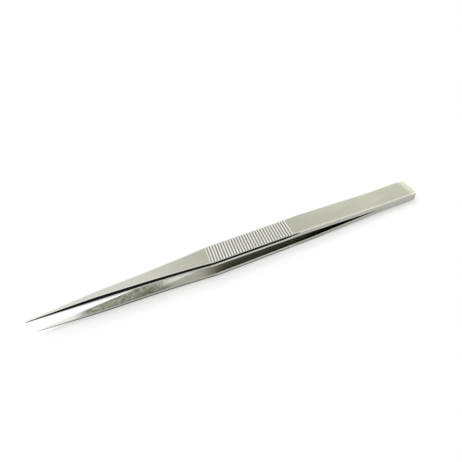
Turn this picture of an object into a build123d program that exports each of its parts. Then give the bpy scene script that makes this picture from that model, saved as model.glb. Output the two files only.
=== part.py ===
from build123d import *
import os
from math import cos, radians, sin, tan

# Straight fine-point tweezers, sizes in millimetres.
# Two mirror-image arms of strip stock, welded face to face at the butt end.
# Distances along an arm are measured from the butt towards the tips.

# Strip stock and handle
overall_length = 140.0
handle_width = 9.0
stock_thickness = 1.6
edge_break = 0.15
butt_corner_radius = 0.8
butt_bevel_length = 2.4
butt_bevel_depth = 0.2

# Bends that part the arms in front of the weld, angles from the closing plane
first_bend_at = 15.5
first_bend_radius = 150.0
spread_angle = 2.65
second_bend_at = 43.5
second_bend_radius = 100.0
front_angle = 0.8

# Ground side facets: they run in just past the second bend
facet_clearance = 0.25
facet_run_in = 7.0
facet_depth = 0.8
facet_tilt = 20.0

# Transverse grip ridges, left between V grooves across each outer face
first_groove_at = 50.2
groove_pitch = 0.99
groove_count = 30
groove_width = 0.62
groove_depth = 0.25
cutter_overshoot = 0.1

# Front part, ground from the end of the grip to the needle tip: a shoulder
# that fades into a straight taper
taper_start = 78.4
straight_share = 0.75
shoulder_curve = 4.3
deep_facet_depth = 1.05
deep_facet_at = 110.0
thinning_start = 116.0
thinning_curve = 1.4
tip_width = 0.34
tip_thickness = 0.27
front_sections = 21

second_bend_reach = second_bend_radius * tan(radians(spread_angle - front_angle) / 2)
facet_start = second_bend_at + second_bend_reach + facet_clearance

# The object lies on the lower arm's outer face, which is straight from the
# second bend forward, so the closing plane rises towards the tips.
bend_height = (second_bend_at - first_bend_at) * tan(radians(spread_angle))
resting_face_height = bend_height + stock_thickness / cos(radians(front_angle))
closing_height = resting_face_height * cos(radians(front_angle)) - second_bend_at * sin(radians(front_angle))
closing_plane = Plane(
    origin=(overall_length / 2, 0, closing_height),
    x_dir=(-cos(radians(front_angle)), 0, sin(radians(front_angle))),
    z_dir=(sin(radians(front_angle)), 0, cos(radians(front_angle))),
)
side_plane = Plane(closing_plane.origin, x_dir=closing_plane.x_dir, z_dir=-closing_plane.y_dir)
rise_per_length = tan(radians(front_angle))
front_direction = (closing_plane.x_dir + closing_plane.z_dir * rise_per_length).normalized()


# Height of the inner face above the closing plane, on the straight front line
def front_height(distance):
    return bend_height + (distance - second_bend_at) * rise_per_length


# Plane across the arm, square to the straight front line
def plane_across_front(distance):
    start = closing_plane.from_local_coords((distance, 0, front_height(distance)))
    return Plane(start, x_dir=closing_plane.y_dir, z_dir=front_direction)


# Section of an arm: flat inner face, upright sides, a facet on each side and
# a narrower outer face
def arm_section(width, thickness, depth, inset):
    Polygon(
        (-width / 2, 0),
        (width / 2, 0),
        (width / 2, thickness - depth),
        (width / 2 - inset, thickness),
        (inset - width / 2, thickness),
        (-width / 2, thickness - depth),
        align=None,
    )


def facet_inset(depth):
    return depth * tan(radians(facet_tilt))


# Thickness falls from the stock to the tip in a curve that starts late
def thickness_at(distance):
    share = max(0.0, (distance - thinning_start) / (overall_length - thinning_start))
    return stock_thickness - (stock_thickness - tip_thickness) * share**thinning_curve


# The facet deepens along the front and thins out with the tip
def facet_depth_at(distance):
    share = min(1.0, (distance - taper_start) / (deep_facet_at - taper_start))
    full_depth = facet_depth + (deep_facet_depth - facet_depth) * share
    return full_depth * thickness_at(distance) / stock_thickness


# The outer face narrows quickly at the shoulder and then evenly
def outer_face_width_at(distance):
    share = (overall_length - distance) / (overall_length - taper_start)
    grip_face_width = handle_width - 2 * facet_inset(facet_depth)
    tip_face_width = tip_width - 2 * facet_inset(facet_depth_at(overall_length))
    narrowed = straight_share * share + (1 - straight_share) * share**shoulder_curve
    return tip_face_width + (grip_face_width - tip_face_width) * narrowed


with BuildPart() as upper_arm:
    # Handle: flat at the weld, then spread, then straight
    with BuildLine(side_plane) as bend_line:
        FilletPolyline(
            (0, 0),
            (first_bend_at, 0),
            (second_bend_at, bend_height),
            (facet_start, front_height(facet_start)),
            radius=(first_bend_radius, second_bend_radius),
        )
    with BuildSketch(Plane(closing_plane.origin, x_dir=closing_plane.y_dir, z_dir=closing_plane.x_dir)):
        arm_section(handle_width, stock_thickness, edge_break, edge_break)
    sweep(path=bend_line.wires()[0])

    # Rounded corners and a shallow bevel at the butt end
    with BuildSketch(closing_plane):
        with BuildLine():
            FilletPolyline(
                (overall_length, -handle_width / 2),
                (0, -handle_width / 2),
                (0, handle_width / 2),
                (overall_length, handle_width / 2),
                radius=butt_corner_radius,
            )
            Line((overall_length, handle_width / 2), (overall_length, -handle_width / 2))
        make_face()
    extrude(amount=resting_face_height + stock_thickness, mode=Mode.INTERSECT)
    with BuildSketch(side_plane):
        Polygon(
            (0, stock_thickness),
            (0, stock_thickness - butt_bevel_depth),
            (butt_bevel_length, stock_thickness),
            align=None,
        )
    extrude(amount=handle_width, both=True, mode=Mode.SUBTRACT)

    # Side facets run in ahead of the grip
    with BuildSketch(plane_across_front(facet_start)):
        arm_section(handle_width, stock_thickness, edge_break, edge_break)
    with BuildSketch(plane_across_front(facet_start + facet_run_in)):
        arm_section(handle_width, stock_thickness, facet_depth, facet_inset(facet_depth))
    loft(ruled=True)

    # Grip, with its facets at full depth
    with BuildSketch(plane_across_front(facet_start + facet_run_in)):
        arm_section(handle_width, stock_thickness, facet_depth, facet_inset(facet_depth))
    extrude(amount=(taper_start - facet_start - facet_run_in) / cos(radians(front_angle)))

    # Needle front
    section_spacing = (overall_length - taper_start) / (front_sections - 1)
    for index in range(front_sections):
        distance = taper_start + index * section_spacing
        depth = facet_depth_at(distance)
        with BuildSketch(plane_across_front(distance)):
            full_width = outer_face_width_at(distance) + 2 * facet_inset(depth)
            arm_section(full_width, thickness_at(distance), depth, facet_inset(depth))
    loft(ruled=True)

    # Grooves of the grip
    groove_plane = Plane(
        origin=plane_across_front(first_groove_at).from_local_coords((0, stock_thickness, 0)),
        x_dir=front_direction,
        z_dir=side_plane.z_dir,
    )
    top_width = groove_width * (1 + cutter_overshoot / groove_depth)
    with BuildSketch(groove_plane):
        with Locations([(index * groove_pitch, 0) for index in range(groove_count)]):
            Polygon(
                (0, -groove_depth),
                (top_width / 2, cutter_overshoot),
                (-top_width / 2, cutter_overshoot),
                align=None,
            )
    extrude(amount=handle_width, both=True, mode=Mode.SUBTRACT)

with BuildPart() as lower_arm:
    mirror(upper_arm.part, about=closing_plane)

upper_arm.part.label = "upper_arm"
lower_arm.part.label = "lower_arm"

os.makedirs("parts", exist_ok=True)
export_step(upper_arm.part, "parts/upper_arm.step")
export_step(lower_arm.part, "parts/lower_arm.step")
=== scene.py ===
import math

import bmesh
import bpy
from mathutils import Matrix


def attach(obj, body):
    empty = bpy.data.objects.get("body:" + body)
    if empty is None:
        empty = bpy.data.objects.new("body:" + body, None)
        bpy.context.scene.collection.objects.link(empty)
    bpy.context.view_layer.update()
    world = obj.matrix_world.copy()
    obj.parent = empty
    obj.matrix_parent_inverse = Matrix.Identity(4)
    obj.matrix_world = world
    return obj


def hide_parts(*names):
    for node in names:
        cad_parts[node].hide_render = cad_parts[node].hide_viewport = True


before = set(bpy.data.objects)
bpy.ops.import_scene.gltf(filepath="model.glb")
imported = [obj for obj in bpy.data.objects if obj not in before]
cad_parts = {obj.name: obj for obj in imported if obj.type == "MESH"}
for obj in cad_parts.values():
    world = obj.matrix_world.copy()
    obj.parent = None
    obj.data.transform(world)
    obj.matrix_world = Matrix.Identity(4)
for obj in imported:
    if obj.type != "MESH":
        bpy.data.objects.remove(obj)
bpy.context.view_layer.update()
print("frame loaded:", sorted(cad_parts))

# Two arms of strip steel, rebuilt finer than the frame's nodes from the same sizes.
# Distances along an arm run from the butt to the tip. The dictionaries are in millimetres,
# and the meshes in metres.
mm = .001


class Wire:  # a socket of a node tree, so that maths on it reads plainly
    def __init__(self, tree, socket=None):
        self.tree, self.socket = tree, socket

    def find(self, sockets, key):  # by number, identifier or name
        if isinstance(key, int):
            return sockets[key]
        return next((s for s in sockets if s.identifier == key), None) or sockets[key]

    def add(self, kind, settings=None, inputs=None, output=0):  # any node: settings first, then sockets
        node = self.tree.nodes.new(kind)
        for name, value in (settings or {}).items():
            setattr(node, name, value)
        for key, value in (inputs or {}).items():
            socket = self.find(node.inputs, key)
            if isinstance(value, Wire):
                self.tree.links.new(value.socket, socket)
            else:
                socket.default_value = value
        return Wire(self.tree, self.find(node.outputs, output)) if len(node.outputs) else node

    def maths(self, operation, *values):
        return self.add("ShaderNodeMath", {"operation": operation}, dict(enumerate(values)))

    def __add__(self, other): return self.maths("ADD", self, other)
    def __radd__(self, other): return self.maths("ADD", other, self)
    def __sub__(self, other): return self.maths("SUBTRACT", self, other)
    def __rsub__(self, other): return self.maths("SUBTRACT", other, self)
    def __mul__(self, other): return self.maths("MULTIPLY", self, other)
    def __rmul__(self, other): return self.maths("MULTIPLY", other, self)
    def __truediv__(self, other): return self.maths("DIVIDE", self, other)
    def __abs__(self): return self.maths("ABSOLUTE", self)
    def least(self, other): return self.maths("MINIMUM", self, other)
    def most(self, other): return self.maths("MAXIMUM", self, other)

    def ramp(self, start, end, low=0., high=1.):  # eases from low at start to high at end
        return self.add("ShaderNodeMapRange", {"interpolation_type": "SMOOTHSTEP"},
                        {0: self, 1: start, 2: end, 3: low, 4: high})

    def blend(self, first, second):  # from the first colour to the second as this goes 0 to 1
        return self.add("ShaderNodeMix", {"data_type": "RGBA"},
                        {"Factor_Float": self, "A_Color": first, "B_Color": second}, "Result_Color")


# Shape of an arm

arm = {
    "length": 140, "width": 9, "thickness": 1.6,
    "buttCorner": .8, "buttBevelLength": 2.4, "buttBevelDepth": .2, "buttRound": .18,
    "firstBend": 15.5, "firstRadius": 150, "spread": 2.65,
    "secondBend": 43.5, "secondRadius": 100, "rise": .8,
    "handleChamfer": .15, "facetStart": 45.365, "facetFull": 52.365, "facetDepth": .8, "facetTilt": 20,
    "taperStart": 78.4, "straightShare": .75, "shoulderCurve": 4.3, "deepFacet": 1.05, "deepFacetAt": 110,
    "thinStart": 116, "thinCurve": 1.4, "tipWidth": .34, "tipThickness": .27, "tipRound": .12, "tipCloses": .9,
    "innerRound": .09, "sideRound": .06, "outerRound": .1, "groundRound": .04, "roundLimit": .42,
}
grip = {"first": 50.2, "pitch": .99, "count": 30, "width": .62, "depth": .25, "uneven": .1, "seed": 7}
detail = {  # how finely the arms are divided: steps in millimetres, shares of a length
    "bendSteps": 160, "cornerSteps": 14, "handleFrom": .15, "handleStep": .75, "handleSteps": 61,
    "runInStep": .45, "runInSteps": 40, "besideGroove": .6,
    "acrossGroove": (-1.08, -1, -.9, -.5, -.1, 0, .1, .5, .9, 1, 1.08),
    "frontFrom": .1, "frontSteps": 110, "overTip": (.3, .6, .8, .92, 1),
    "overFaces": [(.4, .8, .96), (.12, .5, .88), (.06, .35, .62, .7, .78, .86, .94), (.03, .12, .5)],
    "overCorner": (0, 1 / 3, 2 / 3, 1),
}

rise = math.radians(arm["rise"])
riseTan = math.tan(rise)
spreadTan = math.tan(math.radians(arm["spread"]))
facetTan = math.tan(math.radians(arm["facetTilt"]))
bendHeight = (arm["secondBend"] - arm["firstBend"]) * spreadTan
restingHeight = bendHeight + arm["thickness"] / math.cos(rise)
closingHeight = restingHeight * math.cos(rise) - arm["secondBend"] * math.sin(rise)


def share(value, start, end):
    return min(1, max(0, (value - start) / (end - start)))


def slopeAt(distance):  # of the inner face: flat at the weld, spread, then the straight front
    firstReach = arm["firstRadius"] * math.tan(math.radians(arm["spread"]) / 2)
    secondReach = arm["secondRadius"] * math.tan(math.radians(arm["spread"] - arm["rise"]) / 2)
    rising = share(distance, arm["firstBend"] - firstReach, arm["firstBend"] + firstReach)
    easing = share(distance, arm["secondBend"] - secondReach, arm["secondBend"] + secondReach)
    return spreadTan * rising + (riseTan - spreadTan) * easing


def heightAt(distance):  # of the inner face above the closing plane
    if distance > arm["facetStart"]:
        return bendHeight + (distance - arm["secondBend"]) * riseTan
    steps = detail["bendSteps"]
    return sum(slopeAt(distance * (i + .5) / steps) for i in range(steps)) * distance / steps


def thicknessAt(distance):
    thinned = share(distance, arm["thinStart"], arm["length"]) ** arm["thinCurve"]
    return arm["thickness"] - (arm["thickness"] - arm["tipThickness"]) * thinned


def groundAt(distance):  # how far the side facets have run in
    return share(distance, arm["facetStart"], arm["facetFull"])


def facetAt(distance):  # how deep the side facet is, and how far it cuts into the outer face
    if distance < arm["facetFull"]:
        first, full = arm["handleChamfer"], arm["facetDepth"]
        run = groundAt(distance)
        return first + (full - first) * run, first + (full * facetTan - first) * run
    deeper = share(distance, arm["taperStart"], arm["deepFacetAt"])
    depth = arm["facetDepth"] + (arm["deepFacet"] - arm["facetDepth"]) * deeper
    depth *= thicknessAt(distance) / arm["thickness"]
    return depth, depth * facetTan


def halfWidthAt(distance):
    corner = arm["buttCorner"]
    if distance < corner:
        return arm["width"] / 2 - corner + math.sqrt(corner**2 - (corner - distance) ** 2)
    if distance < arm["taperStart"]:
        return arm["width"] / 2
    left = share(distance, arm["length"], arm["taperStart"])
    faceAtGrip = arm["width"] / 2 - arm["facetDepth"] * facetTan
    faceAtTip = arm["tipWidth"] / 2 - facetAt(arm["length"])[1]
    narrowed = arm["straightShare"] * left + (1 - arm["straightShare"]) * left ** arm["shoulderCurve"]
    return faceAtTip + (faceAtGrip - faceAtTip) * narrowed + facetAt(distance)[1]


def between(a, b, t):
    return [a[i] + (b[i] - a[i]) * t for i in (0, 1)]


def halfSection(distance):  # points of one half, from the middle of the inner face to the outer one
    width, thickness = halfWidthAt(distance), thicknessAt(distance)
    depth, inset = facetAt(distance)
    buttRound = arm["buttRound"]
    drawnIn = buttRound - math.sqrt(buttRound**2 - max(0, buttRound - distance) ** 2)
    bevelled = arm["buttBevelDepth"] * (1 - share(distance, 0, arm["buttBevelLength"]))
    top, bottom = thickness - bevelled - drawnIn, drawnIn
    corners = [(0, bottom), (width, bottom), (width, top - depth), (width - inset, top), (0, top)]
    outerRound = arm["outerRound"] + (arm["groundRound"] - arm["outerRound"]) * groundAt(distance)
    rounds = [arm["innerRound"], arm["sideRound"], outerRound]
    cuts = []  # the rounding of each corner: where it starts, the corner and where it ends
    for a, p, b, radius in zip(corners, corners[1:], corners[2:], rounds):
        lengthA, lengthB = math.dist(a, p), math.dist(p, b)
        turn = abs(math.atan2(b[1] - p[1], b[0] - p[0]) - math.atan2(p[1] - a[1], p[0] - a[0]))
        limit = arm["roundLimit"]
        reach = min(radius * math.tan(turn / 2), limit * lengthA, limit * lengthB)
        cuts.append((between(p, a, reach / lengthA), p, between(p, b, reach / lengthB)))
    points = [corners[0]]
    for index, run in enumerate(detail["overFaces"]):
        start = cuts[index - 1][2] if index else corners[0]
        end = cuts[index][0] if index < len(cuts) else corners[-1]
        points += [between(start, end, t) for t in run]
        if index < len(cuts):
            a, p, b = cuts[index]
            points += [[(1 - t) ** 2 * a[i] + 2 * t * (1 - t) * p[i] + t * t * b[i] for i in (0, 1)]
                       for t in detail["overCorner"]]
    points.append(corners[-1])
    tipShare = share(distance, arm["length"] - arm["tipRound"], arm["length"])
    shrink = math.sqrt(1 - (arm["tipCloses"] * tipShare) ** 2)
    middle = thickness / 2
    return [(y * shrink, middle + (h - middle) * shrink) for y, h in points]


def perPoint(onFaces, onCorners):  # one value for each point of a half section
    values = [onFaces[0]]
    for index, run in enumerate(detail["overFaces"]):
        values += [onFaces[index]] * len(run)
        values += onCorners[index] if index < len(onCorners) else []
    return values + [onFaces[-1]]


# How much each point belongs to the inner face, to the facet or to an edge. The faces are the
# inner one, side, facet and outer one, and the corners lie between them.
pointFaces = {
    "inner": perPoint((1, 0, 0, 0), ((1, 1, 0, 0), (0, 0, 0, 0), (0, 0, 0, 0))),
    "facet": perPoint((0, 0, 1, 0), ((0, 0, 0, 0), (0, .5, 1, 1), (1, 1, .5, 0))),
    "edge": perPoint((0, 0, 0, 0), ((.4, 1, 1, .4), (.4, 1, 1, .4), (.4, 1, 1, .4))),
}
outerFrom = len(pointFaces["edge"]) - len(detail["overFaces"][-1]) - 2  # first point of the outer face


def stations():  # distances of the sections, close together where the shape changes
    corner, length, tipRound = arm["buttCorner"], arm["length"], arm["tipRound"]
    first, pitch, count, half = grip["first"], grip["pitch"], grip["count"], grip["width"] / 2

    steps = detail["cornerSteps"]
    found = [corner * (1 - math.cos(math.radians(90 * i / steps))) for i in range(steps + 1)]
    found += [corner + detail["handleFrom"] + detail["handleStep"] * i for i in range(detail["handleSteps"])]
    runIn = [arm["facetStart"] + detail["runInStep"] * i for i in range(detail["runInSteps"])]
    found += [d for d in runIn if d < first - pitch]

    beside = (.5 - half) * detail["besideGroove"]
    within = [-.5, -.5 + beside] + [half * t for t in detail["acrossGroove"]] + [.5 - beside]
    found += [first + pitch * i + offset for i in range(count) for offset in within]

    frontStart, steps = first + pitch * count + detail["frontFrom"], detail["frontSteps"]
    front = length - tipRound - frontStart
    found += [frontStart + front * math.sin(math.radians(90 * i / steps)) for i in range(steps + 1)]
    found += [length - tipRound * (1 - t) for t in detail["overTip"]]
    return sorted(set(round(d, 4) for d in found))


def placed(distance, lift, across, height, side):  # from the arm to the frame, in metres
    slope = math.atan(slopeAt(distance))
    x = distance - height * math.sin(slope)
    z = side * (lift + height * math.cos(slope))
    return ((arm["length"] / 2 - x * math.cos(rise) + z * math.sin(rise)) * mm, -across * mm,
            (closingHeight + x * math.sin(rise) + z * math.cos(rise)) * mm)


distances = stations()
print("stations:", len(distances), "points in a half section:", len(pointFaces["edge"]))


def armMesh(name, side):
    vertices, faces, rings = [], [], []
    values = {key: [] for key in ("along", "height", "rim", *pointFaces)}
    for distance in distances:
        half = halfSection(distance)
        outerEdge = half[outerFrom][0]
        ring = [(y, h, i) for i, (y, h) in enumerate(half)]
        ring += [(-y, h, i) for y, h, i in ring[-2:0:-1]]
        rings.append(range(len(vertices), len(vertices) + len(ring)))
        lift, ground = heightAt(distance), groundAt(distance)
        for y, h, i in ring:
            vertices.append(placed(distance, lift, y, h, side))
            values["along"].append(distance * mm)
            values["height"].append(h * mm)
            values["rim"].append((outerEdge - abs(y)) * mm if i > outerFrom else 0)
            values["inner"].append(pointFaces["inner"][i])
            values["facet"].append(pointFaces["facet"][i] * ground)
            values["edge"].append(pointFaces["edge"][i])
    for first, second in zip(rings, rings[1:]):
        for i in range(len(first)):
            j = (i + 1) % len(first)
            faces.append((first[i], first[j], second[j], second[i]))
    faces += [tuple(rings[0]), tuple(rings[-1])]
    mesh = bpy.data.meshes.new(name)
    mesh.from_pydata(vertices, [], faces)
    for key, numbers in values.items():
        mesh.attributes.new(key, "FLOAT", "POINT").data.foreach_set("value", numbers)
    built = bmesh.new()
    built.from_mesh(mesh)
    bmesh.ops.recalc_face_normals(built, faces=built.faces)
    built.to_mesh(mesh)
    built.free()
    mesh.shade_smooth()
    return mesh


def groovesTree():  # V grooves across the outer face, cut straight down through the facets' upper edges
    tree = bpy.data.node_groups.new("gripGrooves", "GeometryNodeTree")
    inputs = [("Geometry", "Geometry"), ("First Groove", "Float"), ("Pitch", "Float"), ("Count", "Int"),
              ("Width", "Float"), ("Depth", "Float"), ("Uneven", "Float"), ("Seed", "Int"),
              ("Thickness", "Float"), ("Outward", "Vector"), ("Material", "Material")]
    for name, kind in inputs:
        tree.interface.new_socket(name, in_out="INPUT", socket_type="NodeSocket" + kind)
    tree.interface.new_socket("Geometry", in_out="OUTPUT", socket_type="NodeSocketGeometry")
    source = tree.nodes.new("NodeGroupInput")
    given = {name: Wire(tree, source.outputs[name]) for name, _ in inputs}
    make = given["Geometry"]

    along = make.add("GeometryNodeInputNamedAttribute", {"data_type": "FLOAT"}, {"Name": "along"})
    height = make.add("GeometryNodeInputNamedAttribute", {"data_type": "FLOAT"}, {"Name": "height"})
    steps = (along - given["First Groove"]) / given["Pitch"]
    number = steps.maths("ROUND", steps).most(0).least(given["Count"] - 1)
    wander = make.add("FunctionNodeRandomValue", {"data_type": "FLOAT"},
                      {"Min_001": -1., "Max_001": 1., "ID": number, "Seed": given["Seed"]}, "Value_001")
    depth = given["Depth"] * (1 - abs(wander) * given["Uneven"])
    fromMiddle = abs(steps - number) * given["Pitch"] / (given["Width"] / 2)
    cut = (height - given["Thickness"] + depth * (1 - fromMiddle)).most(0)
    offset = make.add("ShaderNodeVectorMath", {"operation": "SCALE"},
                      {"Vector": given["Outward"], "Scale": 0 - cut})
    moved = make.add("GeometryNodeSetPosition", None, {"Geometry": make, "Offset": offset})
    stored = make.add("GeometryNodeStoreNamedAttribute", {"data_type": "FLOAT", "domain": "POINT"},
                      {"Geometry": moved, "Name": "groove", "Value": cut / given["Depth"]})
    real = make.add("GeometryNodeRealizeInstances", None, {"Geometry": stored})
    done = make.add("GeometryNodeSetMaterial", None, {"Geometry": real, "Material": given["Material"]})
    make.add("NodeGroupOutput", None, {"Geometry": done})
    return tree


# Steel

steel = {
    "handleDark": (.45, .455, .365, 1), "handleLight": (.54, .545, .45, 1), "handleWarm": (.55, .54, .45, 1),
    # The front colours are a painted highlight: the outer face is made lighter towards the tips, where they
    # catch the light
    "frontSheenDark": (.60, .60, .53, 1), "frontSheenLight": (.72, .72, .66, 1),
    # The crest colour is a painted highlight on the grip's crests
    # The groove colour is painted shade in the grooves
    "crestHighlight": (.88, .88, .82, 1), "groovePaintedShade": (.27, .27, .235, 1),
    # The facet colours are painted shade: the facets made darker for the dark surroundings they mirror, with
    # ground grain between the two
    "facetShadeDark": (.22, .225, .19, 1), "facetShadeLight": (.34, .34, .30, 1),
    # The dull inner colour is painted shade between the arms towards the butt; the polished one is the plain
    # inner steel
    "innerShade": (.34, .34, .29, 1), "innerPolished": (.74, .74, .68, 1),
    "lappedDark": (.17, .175, .125, 1), "lappedLight": (.42, .43, .345, 1),
    # The edge colour is a painted highlight on the edges and rim, and also the colour of real scratches
    # The tip colour is a painted highlight on the inner faces at the tips
    "tipHighlight": (.86, .86, .82, 1), "edgeWearAndHighlight": (.86, .86, .80, 1),
    # Roughness, and how much the grain varies it
    "buttRoughness": .16, "innerRoughness": .15,
    "outerRoughness": .24, "outerVaries": .1,
    "facetRoughness": .12, "facetVaries": .06,
    "lappedRoughness": .34, "lappedVaries": .12,
    # Where one finish, painted highlight or painted shade fades into the next, from the butt, or from the
    # first and last groove
    "buttFade": (2., 3.), "innerShadeFade": (74, 86), "frontSheenFade": (77, 108), "lappedFade": (93, 101),
    "tipHighlightFade": (122, 129), "gripStartFade": (-.9, -.5), "gripEndFade": (.3, .8),
    # Noise: how often it repeats in a metre along X, Y and Z, its detail and its roughness
    "brushedNoise": ((120, 5200, 5200), 3., .55), "groundNoise": ((6500, 420, 420), 3., .55),
    "cloudNoise": ((60, 160, 160), 2., .55), "mottledNoise": ((700, 900, 900), 4., .65),
    "scratchNoise": ((45, 2600, 2600), 1., .55),
    # From which value of the noise to which a mark fades in
    "warmFrom": (.52, .7), "mottledFrom": (.32, .68), "scratchFrom": (.68, .74), "grooveFrom": (0., .3),
    # How strong a mark, painted highlight or painted shade is, the second number times the mottling
    # The crest, groove, edge and rim shares and the rim width set painted highlights and painted shade; the
    # warm and scratch shares set the steel's own marks
    "warmShare": .6, "crestHighlightShare": (.55, .6), "grooveShadeShare": (.75, .3), "edgeHighlightShare": (.2, .7),
    "rimHighlightShare": .45, "rimHighlightWidth": .8, "scratchShare": .12,
    "bumpStrength": .35, "bumpDepth": .01, "facetBump": .6, "lappedBump": .8,
}


def steelMaterial(name):
    material = bpy.data.materials.new(name)
    material.use_nodes = True
    tree = material.node_tree
    tree.nodes.clear()
    make = Wire(tree)
    place = make.add("ShaderNodeTexCoord", None, None, "Object")

    def given(attribute):
        return make.add("ShaderNodeAttribute", {"attribute_name": attribute}, None, "Fac")

    def noise(key):
        stretch, fineness, roughness = steel[key]
        scaled = make.add("ShaderNodeVectorMath", {"operation": "MULTIPLY"}, {0: place, 1: stretch})
        return make.add("ShaderNodeTexNoise", None,
                        {"Vector": scaled, "Scale": 1., "Detail": fineness, "Roughness": roughness}, "Fac")

    def fade(key, start=0., low=0., high=1.):  # along the arm
        return along.ramp(*[(start + d) * mm for d in steel[key]], low, high)

    def mottledShare(key):
        least, added = steel[key]
        return least + mottled * added

    def varied(key, pattern):  # a roughness that the pattern raises and lowers
        varies = steel[key + "Varies"]
        return steel[key + "Roughness"] - varies / 2 + pattern * varies

    along, rim, groove = given("along"), given("rim"), given("groove")
    facet, inner, edge = given("facet"), given("inner"), given("edge")
    brushed = noise("brushedNoise")  # fine lines along the arm
    ground = noise("groundNoise")  # short lines across the facets
    clouds = noise("cloudNoise")
    mottled = noise("mottledNoise")
    scratches = noise("scratchNoise").ramp(*steel["scratchFrom"])

    # The front and tip fades carry painted highlights, the lapped fade the lapped finish
    front, lapped, tipHighlightShare = fade("frontSheenFade"), fade("lappedFade"), fade("tipHighlightFade")
    lastGroove = grip["first"] + grip["pitch"] * (grip["count"] - 1)
    gripped = fade("gripStartFade", grip["first"]) * fade("gripEndFade", lastGroove, 1., 0.)

    spread = brushed * .5 + clouds * .5
    handle = spread.blend(steel["handleDark"], steel["handleLight"])
    handle = (clouds.ramp(*steel["warmFrom"]) * steel["warmShare"]).blend(handle, steel["handleWarm"])
    # Painted highlight: the outer face turns lighter towards the front
    outerColour = front.blend(handle, spread.blend(steel["frontSheenDark"], steel["frontSheenLight"]))
    # Painted highlight on the grip's crests, varied by the mottling
    outerColour = (gripped * mottledShare("crestHighlightShare")).least(1).blend(outerColour, steel["crestHighlight"])
    # Painted shade on the facets, with ground grain between two values
    facetShade = ground.blend(steel["facetShadeDark"], steel["facetShadeLight"])
    # Painted shade on the inner faces towards the butt, fading into the plain inner steel
    shadedInner = fade("innerShadeFade").blend(steel["innerShade"], steel["innerPolished"])
    lappedColour = mottled.ramp(*steel["mottledFrom"]).blend(steel["lappedDark"], steel["lappedLight"])
    # Painted highlight on the inner faces at the tips
    innerColour = tipHighlightShare.blend(lapped.blend(shadedInner, lappedColour), steel["tipHighlight"])
    colour = inner.blend(facet.blend(outerColour, facetShade), innerColour)
    # Painted shade in the grooves, faded in from their edges
    grooveShade = groove.ramp(*steel["grooveFrom"]) * mottledShare("grooveShadeShare")
    colour = grooveShade.least(1).blend(colour, steel["groovePaintedShade"])
    # Painted highlight along the outer face's rim and on edges, mixed with real scratch wear
    rimHighlight = rim.ramp(0., steel["rimHighlightWidth"] * mm, 1., 0.) * (1 - facet) * steel["rimHighlightShare"]
    wearAndHighlight = edge * mottledShare("edgeHighlightShare") + rimHighlight + scratches * steel["scratchShare"]
    wearAndHighlight = wearAndHighlight * (1 - inner) * (1 - groove)
    colour = wearAndHighlight.least(1).blend(colour, steel["edgeWearAndHighlight"])

    outerRough = varied("outer", brushed)
    outerRough = steel["buttRoughness"] + (outerRough - steel["buttRoughness"]) * fade("buttFade")
    facetRough = varied("facet", ground)
    innerRough = steel["innerRoughness"] + (varied("lapped", mottled) - steel["innerRoughness"]) * lapped
    rough = outerRough + (facetRough - outerRough) * facet
    rough = rough + (innerRough - rough) * inner

    relief = brushed * (1 - facet) * (1 - inner) + ground * facet * steel["facetBump"]
    relief = relief + mottled * inner * lapped * steel["lappedBump"]
    bump = make.add("ShaderNodeBump", None, {"Strength": steel["bumpStrength"],
                                             "Distance": steel["bumpDepth"] * mm, "Height": relief})
    shader = make.add("ShaderNodeBsdfPrincipled", None,
                      {"Base Color": colour, "Metallic": 1., "Roughness": rough, "Normal": bump})
    make.add("ShaderNodeOutputMaterial", None, {"Surface": shader})
    return material


groundSteel = steelMaterial("groundSteel")
grooves = groovesTree()
both = [("upperArm", "upper_arm", 1, (2 * math.sin(rise), 0, math.cos(2 * rise))),
        ("lowerArm", "lower_arm", -1, (0, 0, -1))]
for name, node, side, outward in both:
    piece = bpy.data.objects.new(name, armMesh(name, side))
    bpy.context.scene.collection.objects.link(piece)
    settings = {
        "First Groove": grip["first"] * mm, "Pitch": grip["pitch"] * mm, "Count": grip["count"],
        "Width": grip["width"] * mm, "Depth": grip["depth"] * mm, "Uneven": grip["uneven"],
        "Seed": grip["seed"], "Thickness": arm["thickness"] * mm, "Outward": outward,
        "Material": groundSteel,
    }
    modifier = piece.modifiers.new("gripGrooves", "NODES")
    modifier.node_group = grooves
    for item in grooves.interface.items_tree:
        if item.in_out == "INPUT" and item.name in settings:
            modifier[item.identifier] = settings[item.name]
    graph = bpy.context.evaluated_depsgraph_get()
    finished = bpy.data.meshes.new_from_object(piece.evaluated_get(graph), preserve_all_data_layers=True,
                                               depsgraph=graph)
    piece.modifiers.clear()
    piece.data = finished
    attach(piece, "root")
    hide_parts(node)
    print(name, "faces:", len(finished.polygons))


# Studio

studio = {
    "floorSize": 3000, "floorBelow": .02, "floorColour": (.8, .8, .8, 1),
    "floorGlow": .5, "floorGlowMirrored": .18,
    "skyDiffuse": .38, "skyLow": 1.15, "skyHigh": .9, "skyTurns": (.45, .75),
    "sunStrength": .95, "sunSpread": 50, "sunFrom": (-.25, .4, 1.0),
    "black": (.035, .035, .035, 1),
    "tableCard": [(-900, -900, .5), (900, -900, .5), (500, -16, .5), (-500, -16, .5)],
    "wallCard": [(-900, -900, 0), (900, -900, 0), (900, -900, 260), (-900, -900, 260)],
    "boxColour": (1., .99, .95, 1), "boxStrength": 1.7, "boxPlace": (440, 410, 235), "boxSize": (150, 75),
}


def rays(make):  # camera, glossy and transmission rays
    path = make.add("ShaderNodeLightPath")
    return [Wire(path.tree, path.socket.node.outputs[n]) for n in
            ("Is Camera Ray", "Is Glossy Ray", "Is Transmission Ray")]


def newMaterial(name):
    material = bpy.data.materials.new(name)
    material.use_nodes = True
    material.node_tree.nodes.clear()
    return material, Wire(material.node_tree)


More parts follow.
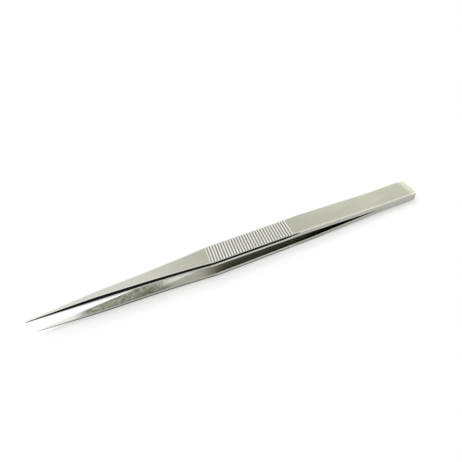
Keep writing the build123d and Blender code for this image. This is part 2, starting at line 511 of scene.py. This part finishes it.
def glowMaterial(name, colour, strength=1.):
    material, make = newMaterial(name)
    glow = make.add("ShaderNodeEmission", None, {"Color": colour, "Strength": strength})
    make.add("ShaderNodeOutputMaterial", None, {"Surface": glow})
    return material


def flatPiece(name, corners, material):
    mesh = bpy.data.meshes.new(name)
    mesh.from_pydata([tuple(c * mm for c in corner) for corner in corners], [], [tuple(range(len(corners)))])
    mesh.materials.append(material)
    piece = bpy.data.objects.new(name, mesh)
    bpy.context.scene.collection.objects.link(piece)
    return piece


def card(name, corners, material):  # seen only in the steel
    piece = flatPiece(name, corners, material)
    piece.visible_camera = piece.visible_diffuse = piece.visible_shadow = False


floorWhite, make = newMaterial("floorWhite")
diffuse = make.add("ShaderNodeBsdfDiffuse", None, {"Color": studio["floorColour"]})
cameraRay, glossyRay, throughRay = rays(make)
seen = (cameraRay + throughRay).least(1) * studio["floorGlow"] + glossyRay * studio["floorGlowMirrored"]
glow = make.add("ShaderNodeEmission", None, {"Color": (1, 1, 1, 1), "Strength": seen})
lit = make.add("ShaderNodeAddShader", None, {0: diffuse, 1: glow})
make.add("ShaderNodeOutputMaterial", None, {"Surface": lit})
reach, floorHeight = studio["floorSize"], -studio["floorBelow"]
flatPiece("floor", [(x * reach, y * reach, floorHeight) for x, y in ((-1, -1), (1, -1), (1, 1), (-1, 1))],
          floorWhite)

blackCard = glowMaterial("blackCard", studio["black"])
card("blackTable", studio["tableCard"], blackCard)
card("blackWall", studio["wallCard"], blackCard)

softBox = glowMaterial("softBox", studio["boxColour"], studio["boxStrength"])
x, y, z = studio["boxPlace"]
wide, high = studio["boxSize"]
asideX, asideY = -y / math.hypot(x, y) * wide, x / math.hypot(x, y) * wide
card("softBoxRight", [(x + side * asideX, y + side * asideY, z + up * high)
                      for side, up in ((-1, -1), (1, -1), (1, 1), (-1, 1))], softBox)

world = bpy.data.worlds.new("studioWorld")
bpy.context.scene.world = world
world.use_nodes = True
world.node_tree.nodes.clear()
make = Wire(world.node_tree)
cameraRay, glossyRay, throughRay = rays(make)
direction = make.add("ShaderNodeTexCoord", None, None, "Generated")
upward = make.add("ShaderNodeSeparateXYZ", None, {0: direction}, "Z")
mirrored = upward.ramp(*studio["skyTurns"], studio["skyLow"], studio["skyHigh"])
plain = (cameraRay + throughRay).least(1)
rest = (1 - plain - glossyRay).most(0)
sky = make.add("ShaderNodeBackground", None, {
    "Color": (1, 1, 1, 1), "Strength": plain + glossyRay * mirrored + rest * studio["skyDiffuse"]})
make.add("ShaderNodeOutputWorld", None, {"Surface": sky})

sun = bpy.data.objects.new("keyLight", bpy.data.lights.new("keyLight", "SUN"))
sun.data.energy = studio["sunStrength"]
sun.data.angle = math.radians(studio["sunSpread"])
sun.visible_glossy = False
bpy.context.scene.collection.objects.link(sun)
x, y, z = studio["sunFrom"]
sun.rotation_euler = (math.atan2(math.hypot(x, y), z), 0, math.atan2(x, -y))

view = {"place": (-5.54, -78.17, 81.02), "turn": (39.092, 8.335, -20.763), "lens": 24.28, "sensor": 36,
        "shift": (-.078, .0939), "clip": 5}
camera = bpy.data.objects.new("camera", bpy.data.cameras.new("camera"))
camera.location = [c * mm for c in view["place"]]
camera.rotation_euler = [math.radians(a) for a in view["turn"]]
camera.data.lens, camera.data.sensor_width = view["lens"], view["sensor"]
camera.data.shift_x, camera.data.shift_y = view["shift"]
camera.data.clip_start = view["clip"] * mm
bpy.context.scene.collection.objects.link(camera)
bpy.context.scene.camera = camera
bpy.context.scene.view_settings.view_transform = "Standard"
print("studio set")
